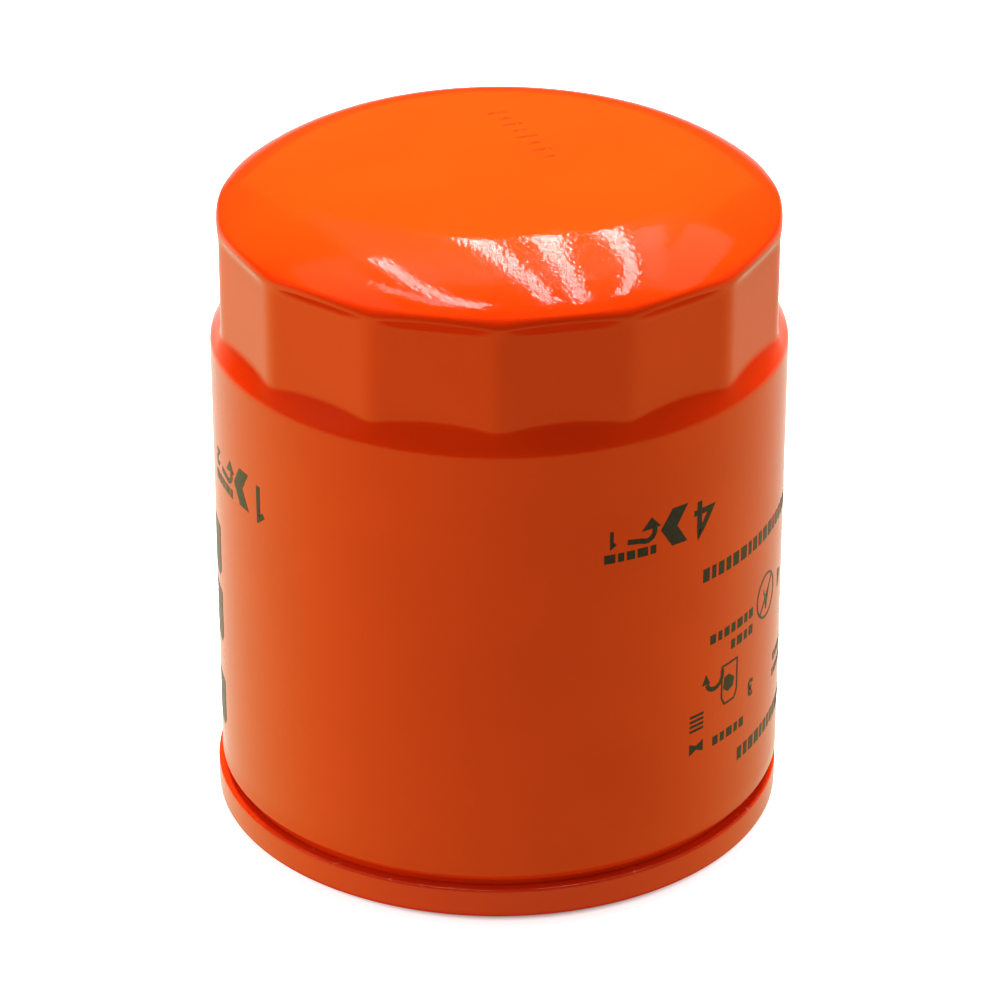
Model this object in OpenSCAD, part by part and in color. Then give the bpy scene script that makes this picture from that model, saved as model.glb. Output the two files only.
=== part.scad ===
// Spin-on oil filter for a small engine: a painted steel can with fourteen wrench flats under its
// dome, seamed to a lid that carries the gasket and a tapped plate, with the filter element,
// anti-drainback valve and bypass valve inside. It stands on its gasket with the dome up.

/* [Can] */
// Outside diameter of the can's plain body
can_d = 80; // [80:1:90]
// Height from the gasket's sealing face to the top of the dome
total_h = 98; // [90:0.1:130]
// Thickness of the can and lid sheet
sheet_t = 0.5; // [0.4:0.05:0.6]
// Radius of the edge between the rim and the dome
edge_r = 1.8; // [1.5:0.1:3]
// Slope of the dome where it leaves the edge radius, in degrees
shoulder_slope = 39; // [34:1:42]
// Slope where the shoulder meets the crown, in degrees
crown_slope = 4.7; // [4:0.1:6]
// Radius of the shoulder's curve
shoulder_r = 25.5; // [24:0.1:28]

/* [Wrench flats] */
// Number of flats
flat_count = 14; // [12:1:16]
// Depth of a flat's middle below the body's surface
flat_depth = 2; // [1.6:0.1:2.4]
// Height of the flats
flat_h = 12.6; // [10:0.2:14]
// Height of the ramp between the body and the flats
ramp_low_h = 4; // [3:0.1:5]
// Height of the ramp between the flats and the rim
ramp_high_h = 1.5; // [1:0.1:2]

/* [Seam] */
// Height of the double seam
seam_h = 4.4; // [4.2:0.1:5]
// How far the seam stands out from the body
seam_proud = 0.3; // [0:0.1:1]
// Height of the groove above the seam
groove_h = 0.9; // [0.6:0.1:1.2]
// Gap between the folded sheets
fold_gap = 0.05; // [0.03:0.01:0.06]

/* [Gasket] */
// Outside diameter of the gasket
gasket_od = 71.5; // [70:0.5:72]
// Inside diameter of the gasket
gasket_id = 62; // [60:0.5:63]
// Height of the gasket's square section
gasket_h = 5; // [4.8:0.1:5.5]
// How far the gasket stands out below the seam
gasket_proud = 1.5; // [1.2:0.1:1.8]

/* [Thread plate] */
// Minor diameter of the 3/4-16 thread
thread_minor_d = 17.5; // [17.4:0.05:17.7]
// Thickness of the plate
plate_t = 3.5; // [3:0.1:4]
// Height of the drawn neck above the plate
neck_h = 4; // [3.5:0.1:4.5]
// Outside diameter of the neck
neck_d = 23.6; // [22.6:0.1:24]
// Number of oil inlet holes
inlet_count = 8; // [6:1:8]
// Diameter of an inlet hole
inlet_d = 6; // [5:0.5:6]
// Diameter of the circle of inlet holes
inlet_pcd = 44; // [43:0.5:45]

/* [Anti-drainback valve] */
// Diameter of the flap's sealing lip
flap_d = 56; // [54:0.5:57]
// Thickness of the flap
flap_t = 1; // [0.8:0.1:1.2]
// How far the flap lifts off the plate
flap_lift = 1.5; // [1:0.1:1.6]

/* [Element] */
// Number of pleats
pleat_count = 50; // [40:1:54]
// Thickness of the filter paper
paper_t = 0.5; // [0.4:0.05:0.55]
// Outside diameter of the end caps
cap_d = 71; // [69:0.5:71.5]
// Height of an end cap's rim
cap_rim_h = 5.5; // [4:0.5:7]
// Outside diameter of the centre tube
tube_d = 34; // [33.6:0.1:34.4]
// Diameter of a hole in the centre tube
tube_hole_d = 5; // [4:0.5:6]
// Holes around the centre tube
tube_hole_cols = 6; // [4:1:7]
// Rows of holes along the centre tube
tube_hole_rows = 8; // [5:1:8]

/* [Bypass valve] */
// Diameter of the port in the valve seat
port_d = 12; // [10:0.5:13]
// Outside diameter of the valve cage
cage_d = 23.2; // [22:0.1:24]
// How far the valve opens
bypass_lift = 3; // [2:0.1:3.5]
// Wire diameter of the valve spring
wire_d = 1.2; // [1:0.1:1.3]
// Turns of the valve spring
spring_turns = 5; // [4:0.5:5]

/* [Load spring] */
// Number of arms
arm_count = 4; // [3:1:6]
// Width of an arm
arm_w = 8; // [6:0.5:9]
// Thickness of the spring strip
arm_t = 0.8; // [0.6:0.1:1]

/* [Hidden] */

$fn = 120;
eps = 0.01;
contact_gap = 0.05;

// Colours
ORANGE = [0.90, 0.30, 0.08];
ZINC = [0.72, 0.73, 0.74];
STEEL = [0.58, 0.59, 0.61];
RUBBER = [0.09, 0.09, 0.09];
SILICONE = [0.80, 0.36, 0.16];
PAPER = [0.88, 0.80, 0.58];
GLUE = [0.78, 0.62, 0.36];
SPRING_STEEL = [0.36, 0.37, 0.39];

// Heights of the closed end
body_r = can_d / 2;
flat_apothem = body_r - flat_depth;
flat_corner_r = flat_apothem / cos(180 / flat_count);
rim_r = flat_corner_r + 0.07;
waist_depth = 0.6;
waist_r = flat_apothem - waist_depth;
edge_angle = 90 - shoulder_slope;
crown_angle = 90 - crown_slope;
shoulder_dx = (shoulder_r - edge_r) * cos(edge_angle);
shoulder_dz = (shoulder_r - edge_r) * sin(edge_angle);
shoulder_x = rim_r - edge_r - shoulder_dx;
crown_r = shoulder_r + shoulder_x / cos(crown_angle);
crown_z = total_h - crown_r;
shoulder_z = crown_z + (crown_r - shoulder_r) * sin(crown_angle);
rim_z = shoulder_z + shoulder_dz;
flat_top_z = rim_z - ramp_high_h;
flat_bottom_z = flat_top_z - flat_h;
body_top_z = flat_bottom_z - ramp_low_h;
waist_low_z = flat_bottom_z + waist_depth * ramp_low_h / flat_depth;
waist_top_z = flat_top_z - waist_depth * ramp_high_h / (rim_r - flat_apothem);

// The five sheets of the double seam, counted from the inside out
seam_z = gasket_proud;
seam_top_z = seam_z + seam_h;
seam_r = body_r + seam_proud;
layer = sheet_t + fold_gap;
lid_wall_r = seam_r - 4 * layer - sheet_t;
can_neck_r = lid_wall_r + layer;
lid_hook_r = can_neck_r + layer;
can_hook_r = lid_hook_r + layer;
lid_panel_r = can_hook_r + layer;
can_foot_z = seam_z + layer;
can_hook_top_z = seam_top_z - 1.3;
body_foot_z = seam_top_z + groove_h;
foot_bend_r = body_r - can_neck_r - sheet_t;

// Gasket channel and thread plate
gasket_r = gasket_od / 2;
gasket_in_r = gasket_id / 2;
channel_z = gasket_h + contact_gap;
lip_r = gasket_in_r - 0.1;
lip_h = 2;
plate_z = channel_z + sheet_t;
plate_top_z = plate_z + plate_t;
plate_r = gasket_r - 0.4;
neck_r = neck_d / 2;
thread_r = thread_minor_d / 2;
thread_chamfer = 0.6;

// Anti-drainback valve
flap_r = flap_d / 2;
collar_in_r = neck_r + contact_gap;
collar_r = neck_r + 2.2;
flap_in_r = collar_r + 0.3;
flap_rise = 1.5;
flap_z = plate_top_z + contact_gap;
collar_flange_r = collar_r + 2;
collar_flange_t = 0.6;
lifted_flap_z = flap_z + flap_rise + flap_t + flap_lift;
collar_top_z = lifted_flap_z + 0.4 + collar_flange_t;

// Element
cap_r = cap_d / 2;
cap_z = collar_top_z + contact_gap;
tube_r = tube_d / 2;
tube_t = 0.6;
potting_t = 1.3;
potting_lap = 2.5;
headroom = 12.4;
top_cap_z = total_h - headroom;
media_z = cap_z + sheet_t + potting_t;
media_top_z = top_cap_z - sheet_t - potting_t;
media_r = cap_r - sheet_t - 0.7;
media_in_r = tube_r + 0.6;
cap_port_r = collar_in_r + 1.15;
clip_t = 0.4;
clip_depth = 6;
clip_margin = 5;

// Bypass valve, hung from the top end cap
cage_r = cage_d / 2;
cage_flange_r = cage_r + 3.4;
cage_t = 0.6;
cage_floor_t = 0.8;
cage_h = bypass_lift + 12;
cage_z = top_cap_z - cage_h;
seat_z = top_cap_z + cage_t;
seat_t = 1;
seal_t = 1.2;
seal_top_z = seat_z - contact_gap;
poppet_t = 1;
poppet_z = seal_top_z - seal_t - poppet_t;
poppet_r = cage_r - cage_t - 1.8;
stem_r = 2;
stem_neck_r = 1.5;
stem_tail = 2.5;
guide_gap = 0.05;
coil_r = 5.2;
window_w = 8;
window_h = 8;

// Load spring between the bypass seat and the dome
arm_z = seat_z + seat_t;
arm_start_r = 14;
arm_touch_r = 24;
arm_tip_r = 27.5;
dome_inner_z = shoulder_z + sqrt(pow(shoulder_r - sheet_t, 2) - pow(arm_touch_r - shoulder_x, 2));
arm_touch_z = dome_inner_z - 0.15;

// Points along an arc about [cx, cz] from angle a to angle b
function arc(cx, cz, r, a, b, n) =
    [for (i = [0:n]) let (t = a + (b - a) * i / n) [cx + r * cos(t), cz + r * sin(t)]];

// A point at radius r and angle a
function polar(r, a) = [r * cos(a), r * sin(a)];

// A square-cornered ring between two radii and two heights
module ring(r_in, r_out, z0, z1) {
    rotate_extrude()
        translate([r_in, z0])
            square([r_out - r_in, z1 - z0]);
}

// The can's revolved outline, drawn in by inset for the cavity
module can_turned(inset, foot_z) {
    rotate_extrude()
        polygon(concat(
            [[0, foot_z], [can_neck_r + sheet_t - inset, foot_z]],
            inset > 0 ? [[can_neck_r, body_foot_z + inset]] : [],
            arc(can_neck_r + sheet_t, body_foot_z + foot_bend_r, foot_bend_r - inset, -90, 0, 8),
            [[body_r - inset, body_top_z], [waist_r - inset, waist_low_z]],
            [[waist_r - inset, waist_top_z], [rim_r - inset, rim_z]],
            arc(rim_r - edge_r, rim_z, edge_r - inset, 0, edge_angle, 6),
            arc(shoulder_x, shoulder_z, shoulder_r - inset, edge_angle, crown_angle, 10),
            arc(0, crown_z, crown_r - inset, crown_angle, 90, 6)));
}

// The prism whose sides are the wrench flats, with one corner towards -Y
module flat_prism(inset) {
    corner_r = flat_corner_r - inset / cos(180 / flat_count);
    translate([0, 0, body_top_z])
        linear_extrude(rim_z - body_top_z)
            polygon([for (i = [0:flat_count - 1]) polar(corner_r, i * 360 / flat_count - 90)]);
}

// Drawn can, hooked outwards round its open end inside the seam
module can() {
    bend = sheet_t / 2;
    color(ORANGE) {
        difference() {
            union() {
                can_turned(0, can_foot_z + 1);
                flat_prism(0);
            }
            can_turned(sheet_t, can_foot_z);
            flat_prism(sheet_t);
        }
        rotate_extrude()
            polygon(concat(
                [[can_neck_r, can_foot_z + 1.5]],
                arc(can_neck_r + bend, can_foot_z + bend, bend, 180, 270, 4),
                arc(can_hook_r + bend, can_foot_z + bend, bend, -90, 0, 4),
                [[can_hook_r + sheet_t, can_hook_top_z], [can_hook_r, can_hook_top_z]],
                [[can_hook_r, can_foot_z + sheet_t], [can_neck_r + sheet_t, can_foot_z + sheet_t]],
                [[can_neck_r + sheet_t, can_foot_z + 1.5]]));
    }
}

// Lid: gasket channel, chuck wall, and the panel and hook of the double seam
module seaming_lid() {
    outer = sheet_t + 0.3;
    inner = 0.3;
    bend_x = lid_panel_r + sheet_t - outer;
    wall_x = lid_wall_r + outer;
    slant_z = channel_z - 1.7;
    color(ZINC)
        rotate_extrude()
            polygon(concat(
                [[lip_r - sheet_t, channel_z - lip_h], [lip_r, channel_z - lip_h]],
                [[lip_r, channel_z], [gasket_r + 0.15, channel_z], [lid_wall_r, slant_z]],
                arc(wall_x, seam_z + outer, outer, 180, 270, 4),
                arc(bend_x, seam_z + outer, outer, -90, 0, 4),
                arc(bend_x, seam_top_z - outer, outer, 0, 90, 4),
                arc(lid_hook_r + inner, seam_top_z - inner, inner, 90, 180, 3),
                [[lid_hook_r, can_foot_z + layer], [lid_hook_r + sheet_t, can_foot_z + layer]],
                [[lid_hook_r + sheet_t, seam_top_z - sheet_t]],
                arc(bend_x, seam_top_z - outer, inner, 90, 0, 3),
                arc(bend_x, seam_z + outer, inner, 0, -90, 3),
                arc(lid_wall_r + sheet_t + inner, seam_z + outer, inner, -90, -180, 3),
                [[lid_wall_r + sheet_t, slant_z + 0.22], [gasket_r + 0.4, plate_z]],
                [[lip_r - sheet_t, plate_z]]));
}

// Sealing compound squeezed into the end of the can's hook
module seam_compound() {
    color(SILICONE)
        ring(can_hook_r + 0.02, can_hook_r + sheet_t - 0.02,
            can_hook_top_z + 0.02, seam_top_z - sheet_t - 0.35);
}

// Tapped plate with its drawn neck and the ring of oil inlets
module thread_plate() {
    color(STEEL)
        difference() {
            union() {
                translate([0, 0, plate_z])
                    cylinder(r = plate_r, h = plate_t);
                translate([0, 0, plate_z])
                    cylinder(r = neck_r, h = plate_t + neck_h);
            }
            translate([0, 0, plate_z - 1])
                cylinder(r = thread_r, h = plate_t + neck_h + 2);
            translate([0, 0, plate_z - eps])
                cylinder(r1 = thread_r + thread_chamfer, r2 = thread_r, h = thread_chamfer);
            for (i = [0:inlet_count - 1])
                rotate([0, 0, (i + 0.5) * 360 / inlet_count])
                    translate([inlet_pcd / 2, 0, plate_z - 1])
                        cylinder(d = inlet_d, h = plate_t + 2);
        }
}

// Square-cut rubber ring that seals on the engine
module sealing_gasket() {
    color(RUBBER)
        ring(gasket_in_r, gasket_r, 0, gasket_h);
}

// Fixed collar of the anti-drainback valve, clamped between the neck and the bottom end cap
module drainback_collar() {
    color(SILICONE) {
        ring(collar_in_r, collar_r, flap_z, collar_top_z);
        ring(collar_in_r, collar_flange_r, collar_top_z - collar_flange_t, collar_top_z);
    }
}

// Flap of the anti-drainback valve: a shallow cone whose lip rests on the plate
module drainback_flap() {
    color(SILICONE)
        rotate_extrude()
            polygon([[flap_in_r, flap_z + flap_rise], [flap_r - 2, flap_z + 0.1],
                [flap_r - 1.5, flap_z], [flap_r, flap_z], [flap_r, flap_z + flap_t],
                [flap_in_r, flap_z + flap_rise + flap_t]]);
}

// Pressed end cap: a flat disc with a rim, drawn with its open side up from z = 0
module end_cap(port_r) {
    ring(port_r, cap_r, 0, sheet_t);
    ring(cap_r - sheet_t, cap_r, 0, cap_rim_h);
}

// Bottom end cap with the collar that guides oil down to the stud
module bottom_end_cap() {
    color(ZINC) {
        translate([0, 0, cap_z])
            end_cap(cap_port_r);
        ring(cap_port_r, cap_port_r + sheet_t, cap_z, cap_z + 3.5);
    }
}

// Top end cap with the port that holds the bypass cage
module top_end_cap() {
    color(ZINC)
        translate([0, 0, top_cap_z])
            mirror([0, 0, 1])
                end_cap(cage_r + 0.1);
}

// Adhesive bed that an end of the paper sits in, drawn from z = 0 up
module potting_bed() {
    wall_r = cap_r - sheet_t - contact_gap;
    ring(tube_r + contact_gap, wall_r, 0, potting_t);
    ring(media_r + 0.1, wall_r, 0, potting_t + potting_lap);
    ring(tube_r + contact_gap, media_in_r - 0.1, 0, potting_t + potting_lap);
}

module bottom_potting() {
    color(GLUE)
        translate([0, 0, cap_z + sheet_t])
            potting_bed();
}

module top_potting() {
    color(GLUE)
        translate([0, 0, top_cap_z - sheet_t])
            mirror([0, 0, 1])
                potting_bed();
}

// The closed zigzag through the pleat folds, moved out by off across the paper
function pleat_line(off) =
    let (pitch = 360 / pleat_count,
        tip = (0.7 + off) / media_r * 180 / PI,
        root = (0.45 - off) / media_in_r * 180 / PI,
        r_tip = media_r - paper_t / 2 + off,
        r_root = media_in_r + paper_t / 2 + off)
    [for (k = [0:pleat_count - 1])
        let (a = k * pitch)
        for (p = [[r_tip, a - tip], [r_tip, a + tip],
                [r_root, a + pitch / 2 - root], [r_root, a + pitch / 2 + root]])
            polar(p[0], p[1])];

// Pleated filter paper
module pleated_media() {
    color(PAPER)
        translate([0, 0, media_z])
            linear_extrude(media_top_z - media_z)
                difference() {
                    polygon(pleat_line(paper_t / 2));
                    polygon(pleat_line(-paper_t / 2));
                }
}

// Folded steel strip that clamps the two ends of the paper at one pleat
module media_seam_clip() {
    gap = 0.7 + paper_t / 2 + contact_gap + 0.05;
    z0 = media_z + clip_margin;
    length = media_top_z - clip_margin - z0;
    color(ZINC)
        difference() {
            translate([media_r - clip_depth, -gap - clip_t, z0])
                cube([clip_depth + clip_t + contact_gap, 2 * (gap + clip_t), length]);
            translate([media_r - clip_depth - 1, -gap, z0 - 1])
                cube([clip_depth + 1 + contact_gap, 2 * gap, length + 2]);
        }
}

// Perforated centre tube
module center_tube() {
    z0 = cap_z + sheet_t;
    z1 = top_cap_z - sheet_t;
    row_gap = (z1 - z0) / (tube_hole_rows + 1);
    color(ZINC)
        difference() {
            ring(tube_r - tube_t, tube_r, z0, z1);
            for (row = [1:tube_hole_rows])
                for (col = [0:tube_hole_cols - 1])
                    rotate([0, 0, (col + (row % 2) / 2) * 360 / tube_hole_cols])
                        translate([tube_r - 3, 0, z0 + row * row_gap])
                            rotate([0, 90, 0])
                                cylinder(d = tube_hole_d, h = 6);
        }
}

// Stamped cage that holds the spring and guides the stem
module bypass_cage() {
    color(ZINC)
        difference() {
            union() {
                ring(cage_r - cage_t, cage_r, cage_z, seat_z);
                ring(cage_r - cage_t, cage_flange_r, top_cap_z, seat_z);
                ring(stem_r + guide_gap, cage_r, cage_z, cage_z + cage_floor_t);
            }
            for (a = [0, 90])
                rotate([0, 0, a])
                    translate([-cage_r - 1, -window_w / 2, cage_z + 3])
                        cube([2 * cage_r + 2, window_w, window_h]);
        }
}

// Seat plate over the cage, with the port that the seal closes
module bypass_seat() {
    color(STEEL)
        ring(port_d / 2, cage_flange_r, seat_z, seat_z + seat_t);
}

// Disc that the spring pushes up
module bypass_poppet() {
    color(STEEL)
        ring(stem_neck_r + 0.02, poppet_r, poppet_z, poppet_z + poppet_t);
}

// Guide stem, riveted through the poppet
module bypass_stem() {
    color(STEEL) {
        translate([0, 0, cage_z - stem_tail])
            cylinder(r = stem_r, h = poppet_z - cage_z + stem_tail);
        translate([0, 0, poppet_z - 0.5])
            cylinder(r = stem_neck_r, h = poppet_t + 1);
        translate([0, 0, poppet_z + poppet_t])
            cylinder(r = 2.8, h = 0.7);
    }
}

// Rubber ring on the poppet, pressed against the seat
module bypass_seal() {
    color(RUBBER)
        ring(3.6, poppet_r - 0.5, poppet_z + poppet_t, seal_top_z);
}

// Compression spring: rings of points swept along a coil whose end turns lie flat
module bypass_spring() {
    sides = 8;
    per_turn = 24;
    steps = spring_turns * per_turn;
    low = cage_z + cage_floor_t + wire_d / 2 + 0.02;
    high = poppet_z - wire_d / 2 - 0.02;
    climb = high - low - 1.8 * wire_d;
    function height(t) = low + climb * max(0, min(1, (t - 1) / (spring_turns - 2)))
        + 0.9 * wire_d * (min(1, t) + max(0, t - spring_turns + 1));
    points = [for (i = [0:steps], j = [0:sides - 1])
        let (t = i / per_turn, a = j * 360 / sides, r = coil_r + wire_d / 2 * cos(a))
        [r * cos(t * 360), r * sin(t * 360), height(t) + wire_d / 2 * sin(a)]];
    skin = [for (i = [0:steps - 1], j = [0:sides - 1])
        let (k = (j + 1) % sides)
        [i * sides + j, i * sides + k, (i + 1) * sides + k, (i + 1) * sides + j]];
    start_face = [for (j = [sides - 1:-1:0]) j];
    end_face = [for (j = [0:sides - 1]) steps * sides + j];
    color(SPRING_STEEL)
        polyhedron(points, concat(skin, [start_face, end_face]));
}

// Strip spring that holds the element down: a flat ring with arms arched up to the dome
module load_spring() {
    rise_z = arm_touch_z - arm_t;
    arm = [[arm_start_r - 3, arm_z], [arm_start_r + 0.5, arm_z], [arm_touch_r - 1.5, rise_z - 0.3],
        [arm_touch_r, rise_z], [arm_touch_r + 1.5, rise_z - 0.4], [arm_tip_r, rise_z - 1.6],
        [arm_tip_r, rise_z - 1.6 + arm_t], [arm_touch_r + 1.5, rise_z - 0.4 + arm_t],
        [arm_touch_r, rise_z + arm_t], [arm_touch_r - 1.8, rise_z - 0.3 + arm_t],
        [arm_start_r, arm_z + arm_t], [arm_start_r - 3, arm_z + arm_t]];
    color(SPRING_STEEL)
        union() {
            ring(port_d / 2 + 2.5, arm_start_r, arm_z, arm_z + arm_t);
            for (i = [0:arm_count - 1])
                rotate([90, 0, (i + 0.5) * 360 / arm_count])
                    translate([0, 0, -arm_w / 2])
                        linear_extrude(arm_w)
                            polygon(arm);
        }
}

can();
seaming_lid();
seam_compound();
thread_plate();
sealing_gasket();
drainback_collar();
drainback_flap();
bottom_end_cap();
bottom_potting();
pleated_media();
media_seam_clip();
center_tube();
top_potting();
top_end_cap();
bypass_cage();
bypass_seat();
bypass_spring();
bypass_poppet();
bypass_stem();
bypass_seal();
load_spring();
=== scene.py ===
"""Looks of the spin-on oil filter: an orange painted can with pressed wrench flats and generic print,
its seam, gasket and tapped plate, and the element and valves inside. Lengths are in millimetres, in
the frame of the CAD model, and become metres when a mesh is made."""

import math

import bmesh
import bpy
import numpy as np
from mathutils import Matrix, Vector
from mathutils.geometry import tessellate_polygon


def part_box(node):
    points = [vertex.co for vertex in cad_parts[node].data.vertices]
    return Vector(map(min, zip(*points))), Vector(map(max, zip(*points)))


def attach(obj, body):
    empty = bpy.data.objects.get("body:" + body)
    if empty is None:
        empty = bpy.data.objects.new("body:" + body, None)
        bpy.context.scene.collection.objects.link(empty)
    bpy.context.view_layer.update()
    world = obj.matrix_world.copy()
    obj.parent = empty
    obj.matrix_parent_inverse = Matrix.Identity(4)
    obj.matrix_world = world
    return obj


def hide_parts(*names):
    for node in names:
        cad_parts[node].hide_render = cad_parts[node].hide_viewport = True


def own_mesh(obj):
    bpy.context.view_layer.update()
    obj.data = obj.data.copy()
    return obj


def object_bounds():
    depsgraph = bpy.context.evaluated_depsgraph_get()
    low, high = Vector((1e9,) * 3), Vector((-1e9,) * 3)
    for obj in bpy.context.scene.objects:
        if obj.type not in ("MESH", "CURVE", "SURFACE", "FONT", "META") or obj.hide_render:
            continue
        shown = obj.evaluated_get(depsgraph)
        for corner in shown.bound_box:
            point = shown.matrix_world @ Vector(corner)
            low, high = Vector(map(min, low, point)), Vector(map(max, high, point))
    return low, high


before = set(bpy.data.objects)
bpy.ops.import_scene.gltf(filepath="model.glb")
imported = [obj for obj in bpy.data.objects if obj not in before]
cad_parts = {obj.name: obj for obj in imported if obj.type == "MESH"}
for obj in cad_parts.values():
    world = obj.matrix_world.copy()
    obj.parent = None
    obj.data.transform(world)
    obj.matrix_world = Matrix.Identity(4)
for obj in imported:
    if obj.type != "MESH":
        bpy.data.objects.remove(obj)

CAD_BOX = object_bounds()
MM = 0.001


def span(node):
    """(outer radius, lowest height, highest height) of a round CAD node."""
    low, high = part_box(node)
    return high.x / MM, low.z / MM, high.z / MM


# Sizes taken from the frame
CAN_R, CAN_LOW, TOP = span("can")
SEAM_R, SEAM_LOW, SEAM_TOP = span("seaming_lid")
PLATE_R, PLATE_LOW, NECK_TOP = span("thread_plate")
GASKET_R, GASKET_LOW, GASKET_TOP = span("sealing_gasket")
COLLAR_R, _, COLLAR_TOP = span("drainback_collar")
FLAP_R, FLAP_LOW, _ = span("drainback_flap")
CAP_R, CAP_LOW, CAP_RIM_TOP = span("bottom_end_cap")
_, TOP_CAP_RIM, TOP_CAP_Z = span("top_end_cap")
POTTING_R, POTTING_LOW, _ = span("bottom_potting")
TUBE_R = span("center_tube")[0]
MEDIA_R, MEDIA_LOW, MEDIA_TOP = span("pleated_media")
SEAT_R, SEAT_LOW, SEAT_TOP = span("bypass_seat")
SEAL_R, SEAL_LOW, SEAL_TOP = span("bypass_seal")
POPPET_R, POPPET_LOW, POPPET_TOP = span("bypass_poppet")
STEM_HEAD_R, STEM_LOW, STEM_TOP = span("bypass_stem")
COIL_R, COIL_LOW, COIL_TOP = span("bypass_spring")
CLIP_R, CLIP_LOW, CLIP_TOP = span("media_seam_clip")

# Sheet metal
SHEET = 0.5
FOLD_GAP = 0.05
LAYER = SHEET + FOLD_GAP

# Dome, flats and body of the can
DOME_EDGE_R = 1.8
SHOULDER_R = 25.5
SHOULDER_SLOPE = math.radians(39)
CROWN_SLOPE = math.radians(4.7)
FLATS = 14
APOTHEM = CAN_R - 1.95
CORNER_BEND = 6.5
RIM_R = 38.85
RIM_Z = TOP - 8.0
RIM_MID_R = 38.65
RIM_CORNER_RISE = 0.25
RIM_LIFT = 0.15
RIM_DROP = 0.35
RIM_BLEND_R = 37.2
RIM_BLEND_Z = 84.0
HIGH_CREASE_H = 1.6
LOW_CREASE_Z = 71.7
LOW_CREASE_H = 4.4
LOW_CREASE_CORNER_H = 3.6
LOW_CREASE_EASE = 0.25

# The seam stands off the body's axis by this much, across and ahead. The lid takes the shift up
# between two radii, outside its gasket seat.
SEAM_OFFSET = (-0.35, -0.2)
SHIFT_STARTS_R = 36.0
SHIFT_ENDS_R = 37.4

NECK_R = SEAM_R - 3 * LAYER
FOOT_Z = SEAM_TOP + 0.9
FOOT_BEND = CAN_R - NECK_R

SHOULDER_X = RIM_R - DOME_EDGE_R - (SHOULDER_R - DOME_EDGE_R) * math.sin(SHOULDER_SLOPE)
SHOULDER_Z = RIM_Z - (SHOULDER_R - DOME_EDGE_R) * math.cos(SHOULDER_SLOPE)
CROWN_R = SHOULDER_R + SHOULDER_X / math.sin(CROWN_SLOPE)
CROWN_Z = SHOULDER_Z - (CROWN_R - SHOULDER_R) * math.cos(CROWN_SLOPE)


# ---------------------------------------------------------------- mesh helpers

def arc(cx, cz, r, a, b, n):
    """n + 1 points round [cx, cz] from angle a to angle b, in degrees."""
    turns = [math.radians(a + (b - a) * i / n) for i in range(n + 1)]
    return [(cx + r * math.cos(t), cz + r * math.sin(t)) for t in turns]


def filleted(corners, steps=5):
    """A closed outline from corners (x, y, bend radius), with each bend as an arc."""
    outline = []
    for i, (x, y, bend) in enumerate(corners):
        if bend <= 0:
            outline.append((x, y))
            continue
        here = Vector((x, y))
        back = (Vector(corners[i - 1][:2]) - here).normalized()
        ahead = (Vector(corners[(i + 1) % len(corners)][:2]) - here).normalized()
        half = math.acos(max(-1.0, min(1.0, back.dot(ahead)))) / 2
        centre = here + (back + ahead).normalized() * (bend / math.sin(half))
        start = here + back * (bend / math.tan(half)) - centre
        end = here + ahead * (bend / math.tan(half)) - centre
        a = math.atan2(start.y, start.x)
        turn = (math.atan2(end.y, end.x) - a + math.pi) % (2 * math.pi) - math.pi
        for k in range(steps + 1):
            t = a + turn * k / steps
            outline.append((centre.x + bend * math.cos(t), centre.y + bend * math.sin(t)))
    return outline


def grid_faces(rows, columns, closed_rows):
    """Quads of a grid of rows that each close round on themselves."""
    faces = []
    for i in range(rows if closed_rows else rows - 1):
        k = (i + 1) % rows
        for j in range(columns):
            n = (j + 1) % columns
            faces.append((i * columns + j, i * columns + n, k * columns + n, k * columns + j))
    return faces


def lathe(outline, steps=160, shape=None):
    """A closed outline of (r, z) points turned about the Z axis. shape(r, z, angle) may move a point."""
    angles = np.linspace(0, 2 * math.pi, steps, endpoint=False)
    verts = []
    for r, z in outline:
        rr, zz = np.full(steps, float(r)), np.full(steps, float(z))
        if shape:
            rr, zz = shape(rr, zz, angles)
        verts += list(zip(rr * np.cos(angles), rr * np.sin(angles), zz))
    return verts, grid_faces(len(outline), steps, True)


def extruded(outline, z0, z1):
    """A closed outline of (x, y) points extruded between two heights."""
    n = len(outline)
    verts = [(x, y, z0) for x, y in outline] + [(x, y, z1) for x, y in outline]
    sides = [(i, (i + 1) % n, n + (i + 1) % n, n + i) for i in range(n)]
    return verts, sides + [tuple(range(n - 1, -1, -1)), tuple(range(n, 2 * n))]


def joined(parts):
    """Several (verts, faces) pairs as one."""
    verts, faces = [], []
    for v, f in parts:
        start = len(verts)
        verts += list(v)
        faces += [tuple(start + i for i in face) for face in f]
    return verts, faces


def solid_mesh(name, geometry):
    """A mesh in metres, with doubled points merged and its normals outward."""
    verts, faces = geometry
    mesh = bpy.data.meshes.new(name)
    mesh.from_pydata([(x * MM, y * MM, z * MM) for x, y, z in verts], [], faces)
    work = bmesh.new()
    work.from_mesh(mesh)
    bmesh.ops.remove_doubles(work, verts=work.verts, dist=0.001 * MM)
    bmesh.ops.recalc_face_normals(work, faces=work.faces)
    work.to_mesh(mesh)
    work.free()
    return mesh


def smooth(mesh, crease):
    """Smooth shading, with edges sharper than crease degrees kept sharp."""
    mesh.shade_smooth()
    mesh.set_sharp_from_angle(angle=math.radians(crease))


def add_object(name, data):
    """A new object in the scene."""
    item = bpy.data.objects.new(name, data)
    bpy.context.scene.collection.objects.link(item)
    return item


def make_piece(name, geometry, material, body="canister", stands_for=(), crease=32):
    """A piece that rides on a body and stands for CAD nodes."""
    mesh = solid_mesh(name, geometry)
    smooth(mesh, crease)
    mesh.materials.append(material)
    piece = add_object(name, mesh)
    if stands_for:
        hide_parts(*stands_for)
    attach(piece, body)
    return piece


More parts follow.
